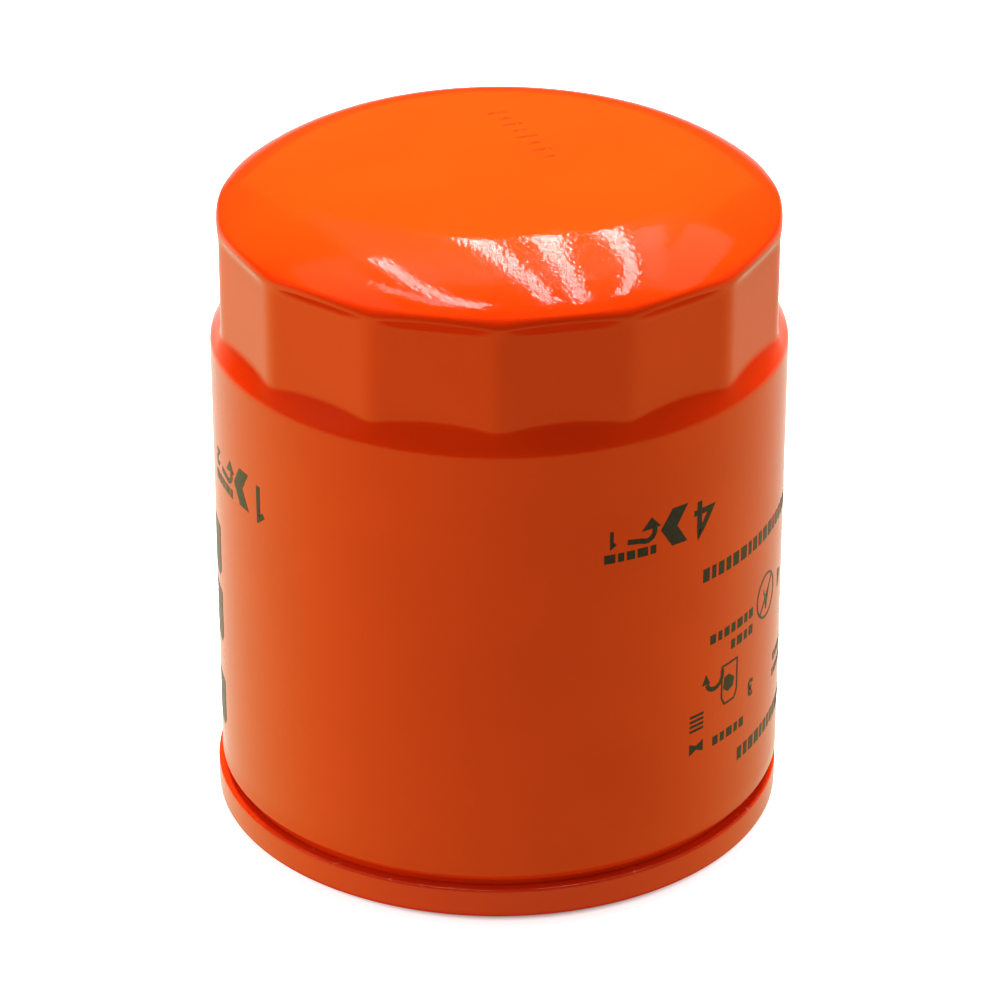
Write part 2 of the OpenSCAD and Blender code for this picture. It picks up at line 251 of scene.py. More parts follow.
# ---------------------------------------------------------------- materials

def principled(name, roughness=0.5, metallic=0.0, **inputs):
    """A new material, its node tree and its shader, with constants set on the shader's sockets."""
    material = bpy.data.materials.new(name)
    material.use_nodes = True
    tree = material.node_tree
    shader = tree.nodes["Principled BSDF"]
    shader.inputs["Roughness"].default_value = roughness
    shader.inputs["Metallic"].default_value = metallic
    for socket, value in inputs.items():
        shader.inputs[socket.replace("_", " ")].default_value = value
    return material, tree, shader


def position(tree, stretch=(1, 1, 1)):
    """The point on the object, in metres, with its axes scaled by stretch."""
    place = tree.nodes.new("ShaderNodeTexCoord")
    mapping = tree.nodes.new("ShaderNodeMapping")
    mapping.inputs["Scale"].default_value = stretch
    tree.links.new(place.outputs["Object"], mapping.inputs["Vector"])
    return mapping.outputs["Vector"]


def noise(tree, scale, detail=3.0, roughness=0.5, stretch=(1, 1, 1)):
    """A noise texture's value; scale is in features per metre."""
    node = tree.nodes.new("ShaderNodeTexNoise")
    node.inputs["Scale"].default_value = scale
    node.inputs["Detail"].default_value = detail
    node.inputs["Roughness"].default_value = roughness
    tree.links.new(position(tree, stretch), node.inputs["Vector"])
    return node.outputs["Fac"]


def remap(tree, value, low, high, to_low, to_high):
    """value's range low..high mapped to to_low..to_high, clamped."""
    node = tree.nodes.new("ShaderNodeMapRange")
    tree.links.new(value, node.inputs["Value"])
    for socket, number in zip(("From Min", "From Max", "To Min", "To Max"),
                              (low, high, to_low, to_high)):
        node.inputs[socket].default_value = number
    return node.outputs["Result"]


def mixed(tree, factor, first, second):
    """A colour between first and second, which are colours or sockets."""
    node = tree.nodes.new("ShaderNodeMix")
    node.data_type = "RGBA"
    tree.links.new(factor, node.inputs["Factor"])
    for socket, colour in ((node.inputs[6], first), (node.inputs[7], second)):
        if isinstance(colour, tuple):
            socket.default_value = (*colour, 1.0)
        else:
            tree.links.new(colour, socket)
    return node.outputs[2]


def maths(tree, operation, first, second=None):
    """A math node on sockets or numbers."""
    node = tree.nodes.new("ShaderNodeMath")
    node.operation = operation
    for socket, value in zip(node.inputs, (first, second)):
        if value is None:
            continue
        if isinstance(value, (int, float)):
            socket.default_value = value
        else:
            tree.links.new(value, socket)
    return node.outputs[0]


def add_bump(tree, shader, height, strength, distance, below=None):
    """A bump from height, on top of the normal of an earlier bump."""
    node = tree.nodes.new("ShaderNodeBump")
    node.inputs["Strength"].default_value = strength
    node.inputs["Distance"].default_value = distance
    tree.links.new(height, node.inputs["Height"])
    if below:
        tree.links.new(below, node.inputs["Normal"])
    tree.links.new(node.outputs["Normal"], shader.inputs["Normal"])
    return node.outputs["Normal"]


def axis_distance(tree):
    """Distance from the Z axis, and the height, in metres."""
    split = tree.nodes.new("ShaderNodeSeparateXYZ")
    tree.links.new(position(tree), split.inputs[0])
    squares = maths(tree, "ADD", maths(tree, "MULTIPLY", split.outputs[0], split.outputs[0]),
                    maths(tree, "MULTIPLY", split.outputs[1], split.outputs[1]))
    return maths(tree, "SQRT", squares), split.outputs[2]


def spread(tree, value, to_low=0.0, to_high=1.0):
    """The usual range of a noise mapped to to_low..to_high."""
    return remap(tree, value, 0.3, 0.7, to_low, to_high)


def dress(tree, shader, colour, roughness):
    """Links a colour and a roughness to the shader."""
    tree.links.new(colour, shader.inputs["Base Color"])
    tree.links.new(roughness, shader.inputs["Roughness"])


PAINT = (0.80, 0.033, 0.0012)
PAINT_DEEP = (0.76, 0.030, 0.0011)
PAINT_SPECK = (0.45, 0.02, 0.002)
PAINT_CHIP = (0.62, 0.30, 0.20)
ZINC_DARK = (0.42, 0.43, 0.44)
ZINC_LIGHT = (0.60, 0.61, 0.62)

# Radii in metres between which the lid's paint ends, and depths below the seam's top, in
# millimetres, between which the paint is whole and worn
PAINT_ENDS = (0.0379, 0.0384)
PAINT_WORN = (0.30, 0.02)


def paint_colour(tree):
    """Orange paint with a faint cloudiness and pinpoint specks."""
    cloud = remap(tree, noise(tree, 60, 4), 0.35, 0.65, 0, 1)
    base = mixed(tree, cloud, PAINT_DEEP, PAINT)
    speck = remap(tree, noise(tree, 2600, 2), 0.70, 0.76, 0, 0.25)
    return mixed(tree, speck, base, PAINT_SPECK)


def orange_peel(tree, shader):
    """The fine waviness of sprayed paint."""
    broad = add_bump(tree, shader, noise(tree, 420, 2, 0.4), 0.012, 0.0006)
    add_bump(tree, shader, noise(tree, 1500, 1, 0.4), 0.095, 0.00018, broad)


def make_can_paint():
    """Glossy stoved paint."""
    material, tree, shader = principled("orange_can_paint", IOR=1.5)
    dress(tree, shader, paint_colour(tree), spread(tree, noise(tree, 900, 3), 0.05, 0.09))
    orange_peel(tree, shader)
    return material


def make_lid_paint():
    """Paint on the rolled seam, nicked along its top edge, and zinc plate inside the seam."""
    material, tree, shader = principled("seam_paint_and_zinc", IOR=1.5)
    radius, height = axis_distance(tree)
    ragged = maths(tree, "MULTIPLY", maths(tree, "SUBTRACT", noise(tree, 700, 3), 0.5), 0.0016)
    painted = remap(tree, maths(tree, "ADD", radius, ragged), *PAINT_ENDS, 0, 1)
    whole, worn = ((SEAM_TOP - depth) * MM for depth in PAINT_WORN)
    chips = remap(tree, noise(tree, 260, 4, 0.7), 0.62, 0.70, 0, 0.45)
    nicks = maths(tree, "MULTIPLY", remap(tree, height, whole, worn, 0, 1), chips)
    paint = mixed(tree, nicks, paint_colour(tree), PAINT_CHIP)
    zinc = mixed(tree, noise(tree, 300, 4), ZINC_DARK, ZINC_LIGHT)
    tree.links.new(remap(tree, painted, 0, 1, 1, 0), shader.inputs["Metallic"])
    uneven = spread(tree, noise(tree, 900, 3), 0.02, 0.10)
    dress(tree, shader, mixed(tree, painted, zinc, paint),
          maths(tree, "ADD", uneven, remap(tree, painted, 0, 1, 0.26, 0.10)))
    orange_peel(tree, shader)
    return material


def make_grained(name, colours, cloud, grain, rough, bump, **constants):
    """A material with cloudy colour, and with its gloss and bump from one finer grain.

    cloud is (scale, detail, lowest, highest value), grain is what noise() takes, rough is the
    range of the roughness, and bump is (strength, depth in metres)."""
    material, tree, shader = principled(name, **constants)
    scale, detail, low, high = cloud
    fine = noise(tree, *grain)
    colour = mixed(tree, remap(tree, noise(tree, scale, detail), low, high, 0, 1), *colours)
    dress(tree, shader, colour, spread(tree, fine, *rough))
    add_bump(tree, shader, fine, *bump)
    return material


def make_turned_metal(name, dark, light, roughness):
    """Metal with the fine rings that a lathe tool or a press die leaves."""
    material, tree, shader = principled(name, metallic=1.0)
    radius, height = axis_distance(tree)
    rings = tree.nodes.new("ShaderNodeTexNoise")
    rings.noise_dimensions = "1D"
    rings.inputs["Scale"].default_value = 4200
    rings.inputs["Detail"].default_value = 3
    tree.links.new(maths(tree, "ADD", radius, height), rings.inputs["W"])
    dress(tree, shader, mixed(tree, spread(tree, noise(tree, 120, 4)), dark, light),
          spread(tree, rings.outputs["Fac"], roughness - 0.06, roughness + 0.10))
    add_bump(tree, shader, rings.outputs["Fac"], 0.22, 0.00005)
    return material


def make_rubber(name, dark, light, roughness, bump=0.25):
    """Moulded rubber: cloudy bloom, tiny pits and a satin sheen."""
    return make_grained(name, (dark, light), (180, 5, 0.35, 0.7), (2600, 3, 0.6),
                        (roughness - 0.07, roughness + 0.12), (bump, 0.00005), Specular_IOR_Level=0.4)


def make_paper():
    """Resin-treated filter paper: long fibres, speckle and a dry surface."""
    material, tree, shader = principled("filter_paper", Specular_IOR_Level=0.2)
    fibres = noise(tree, 700, 6, 0.7, (1, 1, 0.25))
    tone = mixed(tree, spread(tree, fibres), (0.58, 0.43, 0.21), (0.78, 0.64, 0.38))
    specks = remap(tree, noise(tree, 3200, 2), 0.66, 0.74, 0, 0.6)
    dress(tree, shader, mixed(tree, specks, tone, (0.34, 0.24, 0.12)),
          spread(tree, fibres, 0.75, 0.95))
    add_bump(tree, shader, fibres, 0.5, 0.0001)
    return material


def make_coat(name, colours, layer, rough, bump, specular):
    """Ink or paint whose colour and gloss follow how thickly it lies, which layer gives as noise
    and the range of its values."""
    material, tree, shader = principled(name, Specular_IOR_Level=specular)
    texture, low, high = layer
    thick = remap(tree, noise(tree, *texture), low, high, 0, 1)
    dress(tree, shader, mixed(tree, thick, *colours), remap(tree, thick, 0, 1, *rough))
    add_bump(tree, shader, noise(tree, 1500, 2), *bump)
    return material


can_paint = make_can_paint()
lid_paint = make_lid_paint()
plate_steel = make_turned_metal("zinc_plated_steel", (0.40, 0.41, 0.42), (0.56, 0.57, 0.57), 0.34)
black_rubber = make_rubber("black_nitrile", (0.010, 0.010, 0.010), (0.024, 0.024, 0.025), 0.42)
silicone = make_rubber("red_silicone", (0.36, 0.045, 0.018), (0.50, 0.075, 0.030), 0.48)
compound = make_rubber("grey_compound", (0.22, 0.22, 0.20), (0.34, 0.34, 0.32), 0.6, 0.4)
paper = make_paper()

# Deeper orange on the stamped marks, which lie proud of the dome: painted shade that stands in for the
# shadow inside debossed strokes
stamp_painted_shade = make_coat("stamped_mark_painted_shade", ((0.54, 0.016, 0.0007), (0.64, 0.020, 0.0009)),
                        ((1200, 3), 0.35, 0.65), (0.20, 0.32), (0.2, 0.0002), 0.2)

# Screen-printed grey-black ink, thin enough for the paint to mottle it
ink = make_coat("print_ink", ((0.013, 0.013, 0.014), (0.042, 0.030, 0.028)),
                ((1800, 4, 0.6), 0.35, 0.72), (0.28, 0.42), (0.12, 0.0001), 0.3)

METAL_CLOUD = (150, 4, 0.3, 0.7)
METAL_BUMP = (0.15, 0.00006)
tin_plate = make_grained("tin_plate", ((0.55, 0.56, 0.57), (0.72, 0.73, 0.74)), METAL_CLOUD,
                         (420, 5, 0.6, (1, 1, 0.1)), (0.20, 0.40), METAL_BUMP, metallic=1.0)
spring_steel = make_grained("spring_steel", ((0.10, 0.10, 0.11), (0.20, 0.20, 0.22)), METAL_CLOUD,
                            (900, 5, 0.6), (0.28, 0.48), METAL_BUMP, metallic=1.0)

# Cured plastisol: amber, slightly blotchy and half glossy
adhesive = make_grained("potting_adhesive", ((0.42, 0.25, 0.08), (0.62, 0.42, 0.18)),
                        (220, 4, 0.3, 0.7), (500, 3), (0.25, 0.45), (0.3, 0.0002),
                        Subsurface_Weight=0.15, Subsurface_Radius=(0.002, 0.001, 0.0005))


# ---------------------------------------------------------------- can

def eased(t, ease):
    """A straight ramp from 0 to 1 with both ends rounded over the share ease."""
    t = np.clip(t, 0, 1)
    low = t * t / (2 * ease * (1 - ease))
    middle = (t - ease / 2) / (1 - ease)
    high = 1 - (1 - t) ** 2 / (2 * ease * (1 - ease))
    return np.where(t < ease, low, np.where(t > 1 - ease, high, middle))


def flat_radius(angle):
    """Distance from the axis to the flats, whose corners are bent to CORNER_BEND."""
    half = math.pi / FLATS
    offset = (angle + math.pi / 2) % (2 * half)
    from_corner = np.minimum(offset, 2 * half - offset)
    centre = (APOTHEM - CORNER_BEND) / math.cos(half)
    reach = math.atan2(CORNER_BEND * math.sin(half), centre + CORNER_BEND * math.cos(half))
    across = centre * np.sin(from_corner)
    bent = centre * np.cos(from_corner) + np.sqrt(np.maximum(CORNER_BEND ** 2 - across ** 2, 0))
    return np.where(from_corner < reach, bent, APOTHEM / np.cos(half - from_corner))


def dome_height(r):
    """Height of the dome at distance r from the axis."""
    if r < SHOULDER_X + SHOULDER_R * math.sin(CROWN_SLOPE):
        return CROWN_Z + math.sqrt(CROWN_R ** 2 - r ** 2)
    return SHOULDER_Z + math.sqrt(SHOULDER_R ** 2 - (r - SHOULDER_X) ** 2)


def dome_rows(inset):
    """(r, z) from near the middle of the dome to its rim, drawn in by inset."""
    edge = 90 - math.degrees(SHOULDER_SLOPE)
    crown = 90 - math.degrees(CROWN_SLOPE)
    return (arc(0, CROWN_Z, CROWN_R - inset, 89.95, crown, 12)[:-1]
            + arc(SHOULDER_X, SHOULDER_Z, SHOULDER_R - inset, crown, edge, 16)[:-1]
            + arc(RIM_R - DOME_EDGE_R, RIM_Z, DOME_EDGE_R - inset, edge, 0, 12))


def wall_heights():
    """Heights down the wall from the rim to the foot's bend, close together at the creases."""
    foot = FOOT_Z + FOOT_BEND
    heights = []
    high = RIM_Z
    for low, step in ((86.5, 0.17), (77.0, 0.9), (70.0, 0.17), (foot, 2.0)):
        count = round((high - low) / step)
        heights += [high - (high - low) * i / count for i in range(count)]
        high = low
    return heights[1:] + [foot]


def wall_radius(z, angle):
    """Radius of the can's wall: body, low crease, flats, high crease and rim."""
    flat = flat_radius(angle)
    corner = (flat - APOTHEM) / (flat.max() - APOTHEM)
    rim = RIM_MID_R + RIM_CORNER_RISE * corner
    low_h = LOW_CREASE_H + (LOW_CREASE_CORNER_H - LOW_CREASE_H) * corner
    low = eased((LOW_CREASE_Z + low_h - z) / low_h, LOW_CREASE_EASE)
    high = np.clip((z - RIM_Z + HIGH_CREASE_H) / HIGH_CREASE_H, 0, 1) ** 2
    return flat + (CAN_R - flat) * low + (rim - flat) * high


def can_mesh(columns=FLATS * 22):
    """The can as one closed shell: outside, hook inside the seam, and inside."""
    angle = np.linspace(0, 2 * math.pi, columns, endpoint=False)
    flat = flat_radius(angle)
    corner = (flat - APOTHEM) / (flat.max() - APOTHEM)
    rim_rise = RIM_MID_R + RIM_CORNER_RISE * corner - RIM_R
    rim_lift = RIM_LIFT - (RIM_LIFT + RIM_DROP) * corner
    heights = wall_heights()

    def dome_ring(r, z):
        share = np.clip((r - RIM_BLEND_R) / (RIM_R - RIM_BLEND_R), 0, 1) ** 2
        return r + share * rim_rise, z + share * rim_lift

    def wall_ring(z, inset):
        share = np.clip((z - RIM_BLEND_Z) / (RIM_Z - RIM_BLEND_Z), 0, 1) ** 2
        return wall_radius(z, angle) - inset, z + share * rim_lift

    def plain_ring(r, z):
        return np.full(columns, float(r)), np.full(columns, float(z))

    hook_r = NECK_R + LAYER + FOLD_GAP
    hook_top = SEAM_TOP - 1.3
    low = CAN_LOW
    bend = SHEET / 2
    foot = (arc(NECK_R, FOOT_Z + FOOT_BEND, FOOT_BEND, 0, -90, 10)[1:]
            + [(NECK_R, low + SHEET), (hook_r, low + SHEET), (hook_r, hook_top)]
            + [(hook_r + SHEET, hook_top)]
            + arc(hook_r + SHEET - bend, low + bend, bend, 0, -90, 4)
            + arc(NECK_R - SHEET + bend, low + bend, bend, -90, -180, 4)
            + [(NECK_R - SHEET, FOOT_Z + SHEET)]
            + arc(NECK_R, FOOT_Z + FOOT_BEND, FOOT_BEND - SHEET, -90, 0, 8)[:-1])
    rings = [dome_ring(r, z) for r, z in dome_rows(0)]
    rings += [wall_ring(z, 0) for z in heights]
    rings += [plain_ring(r, z) for r, z in foot]
    rings += [wall_ring(z, SHEET) for z in reversed(heights)]
    rings += [dome_ring(r, z) for r, z in reversed(dome_rows(SHEET))]
    verts = []
    for r, z in rings:
        z = z * np.ones(columns)
        aside = np.clip((FOOT_Z + FOOT_BEND - z) / FOOT_BEND, 0, 1)
        verts += list(zip(r * np.cos(angle) + aside * SEAM_OFFSET[0],
                          r * np.sin(angle) + aside * SEAM_OFFSET[1], z))
    faces = grid_faces(len(rings), columns, False)
    outer_pole, inner_pole = len(verts), len(verts) + 1
    verts += [(0, 0, CROWN_Z + CROWN_R), (0, 0, CROWN_Z + CROWN_R - SHEET)]
    last = (len(rings) - 1) * columns
    for j in range(columns):
        n = (j + 1) % columns
        faces.append((outer_pole, n, j))
        faces.append((inner_pole, last + j, last + n))
    return verts, faces


make_piece("painted_can", can_mesh(), can_paint, stands_for=["can"], crease=60)


# ---------------------------------------------------------------- threaded end

CRIMPS = 6
CRIMP_DEPTH = 1.0
CRIMP_HALF_W = 1.3
CRIMP_HALF_H = 0.55
CRIMP_Z = 2.9
CRIMP_REACH = 0.6
LIP_R = 30.9


def off_centre(geometry):
    """Shifts the points outside SHIFT_ENDS_R by SEAM_OFFSET, and those inside SHIFT_STARTS_R not at all."""
    verts, faces = geometry
    moved = []
    for x, y, z in verts:
        share = (math.hypot(x, y) - SHIFT_STARTS_R) / (SHIFT_ENDS_R - SHIFT_STARTS_R)
        share = min(1.0, max(0.0, share))
        share = share * share * (3 - 2 * share)
        moved.append((x + share * SEAM_OFFSET[0], y + share * SEAM_OFFSET[1], z))
    return moved, faces


def lid_outline():
    """The lid's sheet: lip, gasket seat, chuck wall, and the folds of the double seam."""
    wall = SEAM_R - 4 * LAYER - SHEET
    hook = wall + 2 * LAYER
    panel = SEAM_R - SHEET
    low, top, seat = SEAM_LOW, SEAM_TOP, PLATE_LOW - SHEET
    lip = LIP_R
    return filleted([
        (lip - SHEET, seat - 2.0, 0.2), (lip, seat - 2.0, 0.2), (lip, seat, 0.3),
        (GASKET_R + 0.15, seat, 0.6), (wall, seat - 1.7, 0.6), (wall, low, 0.55),
        (SEAM_R, low, 0.55), (SEAM_R, top, 0.38), (hook, top, 0.15), (hook, low + 1.15, 0),
        (hook + SHEET, low + 1.15, 0), (hook + SHEET, top - SHEET, 0), (panel, top - SHEET, 0.12),
        (panel, low + SHEET, 0.2), (wall + SHEET, low + SHEET, 0.2),
        (wall + SHEET, seat - 1.5, 0.4), (GASKET_R + 0.4, PLATE_LOW, 0.3),
        (lip - SHEET, PLATE_LOW, 0.2)])


def crimped(r, z, angle):
    """Pushes the chuck wall in at a few places, which hold the gasket."""
    wall = SEAM_R - 4 * LAYER - SHEET
    near_wall = np.clip(1 - np.abs(r - wall - SHEET / 2) / CRIMP_REACH, 0, 1)
    turn = (angle * CRIMPS / (2 * math.pi) + 0.5) % 1 - 0.5
    tab = np.exp(-((turn * 2 * math.pi * wall / CRIMPS / CRIMP_HALF_W) ** 2))
    tall = np.exp(-(((z - CRIMP_Z) / CRIMP_HALF_H) ** 2))
    return r - CRIMP_DEPTH * near_wall * tab * tall, z


def denser(outline, step):
    """The outline with points no further apart than step."""
    points = []
    for (x0, y0), (x1, y1) in zip(outline, outline[1:] + outline[:1]):
        parts = max(1, math.ceil(math.hypot(x1 - x0, y1 - y0) / step))
        points += [(x0 + (x1 - x0) * k / parts, y0 + (y1 - y0) * k / parts) for k in range(parts)]
    return points


make_piece("rolled_seam_lid", off_centre(lathe(denser(lid_outline(), 0.45), 288, crimped)), lid_paint,
           stands_for=["seaming_lid"], crease=50)

make_piece("seam_sealing_bead",
           off_centre(lathe(filleted([(39.27, 4.63, 0.03), (39.73, 4.63, 0.03), (39.70, 5.04, 0.08),
                                      (39.30, 5.04, 0.08)]))),
           compound, stands_for=["seam_compound"])


THREAD_MINOR_R = 8.75
THREAD_DEPTH = 0.78
THREAD_PITCH = 25.4 / 16
PLATE_T = 3.5
NECK_R_OUT = 11.8
INLETS = 8
INLET_R = 3.0
INLET_CIRCLE_R = 22.0


def threaded(r, z, angle):
    """Cuts the helical thread into the bore's points, with a chamfer at each end."""
    phase = (z / THREAD_PITCH - angle / (2 * math.pi)) % 1
    tooth = np.clip(np.abs(2 * phase - 1) * 1.35 - 0.17, 0, 1)
    cut = THREAD_MINOR_R + THREAD_DEPTH * tooth
    entry = THREAD_MINOR_R + 1.0 - (z - PLATE_LOW)
    leave = THREAD_MINOR_R + 0.7 - (NECK_TOP - z)
    return np.where(r < THREAD_MINOR_R + 0.01, np.maximum(cut, np.maximum(entry, leave)), r), z


def plate_mesh():
    """The tapped plate before its inlets are punched."""
    plate_top = PLATE_LOW + PLATE_T
    rows = 88
    bore = [(THREAD_MINOR_R, NECK_TOP - (NECK_TOP - PLATE_LOW) * k / rows) for k in range(rows + 1)]
    skin = filleted([(PLATE_R, PLATE_LOW, 0.4), (PLATE_R, plate_top, 0.4),
                     (NECK_R_OUT, plate_top, 0.8), (NECK_R_OUT, NECK_TOP, 0.4),
                     (THREAD_MINOR_R + 0.75, NECK_TOP, 0)])
    return lathe(skin + bore + [(THREAD_MINOR_R + 1.0, PLATE_LOW)], 144, threaded)


def punch_mesh():
    """Eight cutters with flared ends, for the oil inlets."""
    mid = PLATE_LOW + PLATE_T / 2
    half = [(0.0, 3.0), (INLET_R + 1.6, 3.0), (INLET_R, 1.4), (INLET_R, -1.4), (INLET_R + 1.6, -3.0),
            (0.0, -3.0)]
    parts = []
    steps = 40
    for i in range(INLETS):
        turn = 2 * math.pi * (i + 0.5) / INLETS
        cx, cy = INLET_CIRCLE_R * math.cos(turn), INLET_CIRCLE_R * math.sin(turn)
        verts = []
        for r, dz in half[1:-1]:
            for k in range(steps):
                a = 2 * math.pi * k / steps
                verts.append((cx + r * math.cos(a), cy + r * math.sin(a), mid + dz))
        faces = grid_faces(len(half) - 2, steps, False)
        faces += [tuple(range(steps)), tuple(range(len(verts) - 1, len(verts) - 1 - steps, -1))]
        parts.append((verts, faces))
    return joined(parts)


def punch(piece, geometry):
    """Cuts geometry out of a piece for good."""
    cutter = add_object("cutter", solid_mesh("cutter", geometry))
    cut = piece.modifiers.new("punch", "BOOLEAN")
    cut.operation = "DIFFERENCE"
    cut.solver = "EXACT"
    cut.object = cutter
    graph = bpy.context.evaluated_depsgraph_get()
    mesh = bpy.data.meshes.new_from_object(piece.evaluated_get(graph))
    piece.modifiers.clear()
    piece.data = mesh
    smooth(mesh, 32)
    bpy.data.objects.remove(cutter)


plate = make_piece("tapped_plate", plate_mesh(), plate_steel, stands_for=["thread_plate"])
punch(plate, punch_mesh())


def gasket_outline():
    """Square section with eased edges, and a sealing face that is proud of its chamfers."""
    inner = 31.0
    return filleted([(inner, GASKET_LOW + 0.15, 0.3), (inner + 1.2, GASKET_LOW, 0.3),
                     (GASKET_R - 1.2, GASKET_LOW, 0.3), (GASKET_R, GASKET_LOW + 0.15, 0.3),
                     (GASKET_R, GASKET_TOP, 0.4), (inner, GASKET_TOP, 0.4)])


make_piece("square_cut_gasket", lathe(gasket_outline(), 200), black_rubber,
           stands_for=["sealing_gasket"])


def check_valve_outline():
    """One silicone moulding: bead under the end cap, sleeve on the neck, and the conical flap."""
    bore = NECK_R_OUT + 0.1
    lip, top = FLAP_LOW, COLLAR_TOP
    return filleted([
        (bore, top, 0.2), (bore, lip + 1.6, 0.3), (bore + 1.6, lip + 1.55, 0.5),
        (FLAP_R - 2.4, lip + 0.32, 0.8), (FLAP_R - 1.6, lip, 0.2), (FLAP_R, lip, 0.25),
        (FLAP_R, lip + 0.95, 0.3), (FLAP_R - 2.2, lip + 1.1, 1.0), (bore + 2.6, lip + 2.5, 0.9),
        (bore + 2.0, top - 1.3, 0.6), (COLLAR_R, top - 0.6, 0.2), (COLLAR_R, top, 0.2)])


check_valve = make_piece("drainback_moulding", lathe(denser(check_valve_outline(), 0.6), 160), silicone,
                         stands_for=["drainback_collar", "drainback_flap"], crease=50)
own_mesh(check_valve)


# ---------------------------------------------------------------- element

CAP_BEAD_R = 26.0


def cap_outline(port_r, base, rim, outward, collar=0.0):
    """An end cap's sheet. outward is +1 where its open side faces up and -1 where it faces down."""
    s = outward
    bead = CAP_BEAD_R
    inner = [(port_r, base + s * collar, 0.15), (port_r, base, 0.35)] if collar else [(port_r, base, 0.1)]
    back = ([(port_r + SHEET, base + s * SHEET, 0.2), (port_r + SHEET, base + s * collar, 0.15)]
            if collar else [(port_r, base + s * SHEET, 0.1)])
    return filleted(inner + [
        (bead - 1.6, base, 0.4), (bead - 0.8, base - s * 0.35, 0.4), (bead + 0.8, base - s * 0.35, 0.4),
        (bead + 1.6, base, 0.4), (CAP_R, base, 0.8), (CAP_R, rim, 0.15), (CAP_R - SHEET, rim, 0.15),
        (CAP_R - SHEET, base + s * SHEET, 0.4), (bead + 1.5, base + s * SHEET, 0.4),
        (bead + 0.6, base + s * (SHEET - 0.35), 0.3), (bead - 0.6, base + s * (SHEET - 0.35), 0.3),
        (bead - 1.5, base + s * SHEET, 0.4)] + back)


make_piece("lower_end_cap", lathe(cap_outline(13.0, CAP_LOW, CAP_RIM_TOP, 1, 3.5)), tin_plate,
           stands_for=["bottom_end_cap"])
make_piece("upper_end_cap", lathe(cap_outline(11.7, TOP_CAP_Z, TOP_CAP_RIM, -1)), tin_plate,
           stands_for=["top_end_cap"])


def potting_outline(base, outward):
    """A bed of adhesive that creeps up the rim and the tube."""
    s = outward
    inner, outer = TUBE_R + 0.05, POTTING_R
    return filleted([
        (inner, base, 0.1), (outer, base, 0.1), (outer, base + s * 3.8, 0.05),
        (outer - 0.35, base + s * 3.1, 0.1), (outer - 0.45, base + s * 1.3, 0.25),
        (inner + 0.5, base + s * 1.3, 0.25), (inner + 0.35, base + s * 3.1, 0.1),
        (inner, base + s * 3.8, 0.05)])


for label, base, outward, node in (("lower", POTTING_LOW, 1, "bottom_potting"),
                                   ("upper", TOP_CAP_Z - SHEET, -1, "top_potting")):
    make_piece(f"{label}_adhesive_bed", lathe(potting_outline(base, outward), 180), adhesive,
               stands_for=[node])

PLEATS = 50
PAPER_T = 0.5


def pleat_side(offset):
    """The folded paper's path once round, moved by offset across its thickness."""
    inner_r = TUBE_R + 0.6 + PAPER_T
    outer_r = MEDIA_R - PAPER_T
    pitch = 2 * math.pi / PLEATS
    tip_w, root_w = 0.7, 0.42
    points = []
    for k in range(PLEATS):
        middle = k * pitch
        for t in np.linspace(-math.pi / 2, math.pi / 2, 7):
            along = outer_r - tip_w + (tip_w + offset) * math.cos(t) + 0.2
            across = (tip_w + offset) * math.sin(t)
            points.append((along, across, middle))
        for t in np.linspace(-math.pi / 2, math.pi / 2, 7):
            along = inner_r + root_w - (root_w - offset) * math.cos(t)
            across = (root_w - offset) * math.sin(t)
            points.append((along, across, middle + pitch / 2))
    return [(u * math.cos(m) - v * math.sin(m), u * math.sin(m) + v * math.cos(m)) for u, v, m in points]


def media_mesh():
    """The pleated paper, with a slight waver in its folds from end to end."""
    outside, inside = pleat_side(PAPER_T / 2), pleat_side(-PAPER_T / 2)
    levels = 14
    n = len(outside)
    verts = []
    for side in (outside, inside):
        for k in range(levels + 1):
            z = MEDIA_LOW + (MEDIA_TOP - MEDIA_LOW) * k / levels
            free = math.sin(math.pi * k / levels)
            for x, y in side:
                angle = math.atan2(y, x)
                waver = 0.012 * free * math.sin(5 * angle + 2.1 * k) * 0.35
                c, s = math.cos(waver), math.sin(waver)
                verts.append((x * c - y * s, x * s + y * c, z))
    faces = grid_faces(levels + 1, n, False)
    shift = (levels + 1) * n
    faces += [tuple(shift + i for i in reversed(face)) for face in grid_faces(levels + 1, n, False)]
    for row, flip in ((0, False), (levels, True)):
        for j in range(n):
            k = (j + 1) % n
            quad = (row * n + j, row * n + k, shift + row * n + k, shift + row * n + j)
            faces.append(tuple(reversed(quad)) if flip else quad)
    return verts, faces


make_piece("pleated_paper", media_mesh(), paper, stands_for=["pleated_media"], crease=80)


def clip_outline():
    """Folded strip: two legs and a rounded back."""
    gap, thick, depth = 1.05, 0.4, 6.0
    back = CLIP_R
    start = back - depth - thick
    return filleted([(start, -gap - thick, 0.1), (back, -gap - thick, 0.6), (back, gap + thick, 0.6),
                     (start, gap + thick, 0.1), (start, gap, 0.1), (back - thick, gap, 0.25),
                     (back - thick, -gap, 0.25), (start, -gap, 0.1)])


make_piece("paper_seam_clip", extruded(clip_outline(), CLIP_LOW, CLIP_TOP), tin_plate,
           stands_for=["media_seam_clip"])


# ---------------------------------------------------------------- bypass valve

def ring(r_in, r_out, low, high, bends):
    """A ring of rectangular section. bends are the radii of its corners, from the inner foot round."""
    corners = ((r_in, low), (r_out, low), (r_out, high), (r_in, high))
    return lathe(filleted([(*corner, bend) for corner, bend in zip(corners, bends)]), 96)


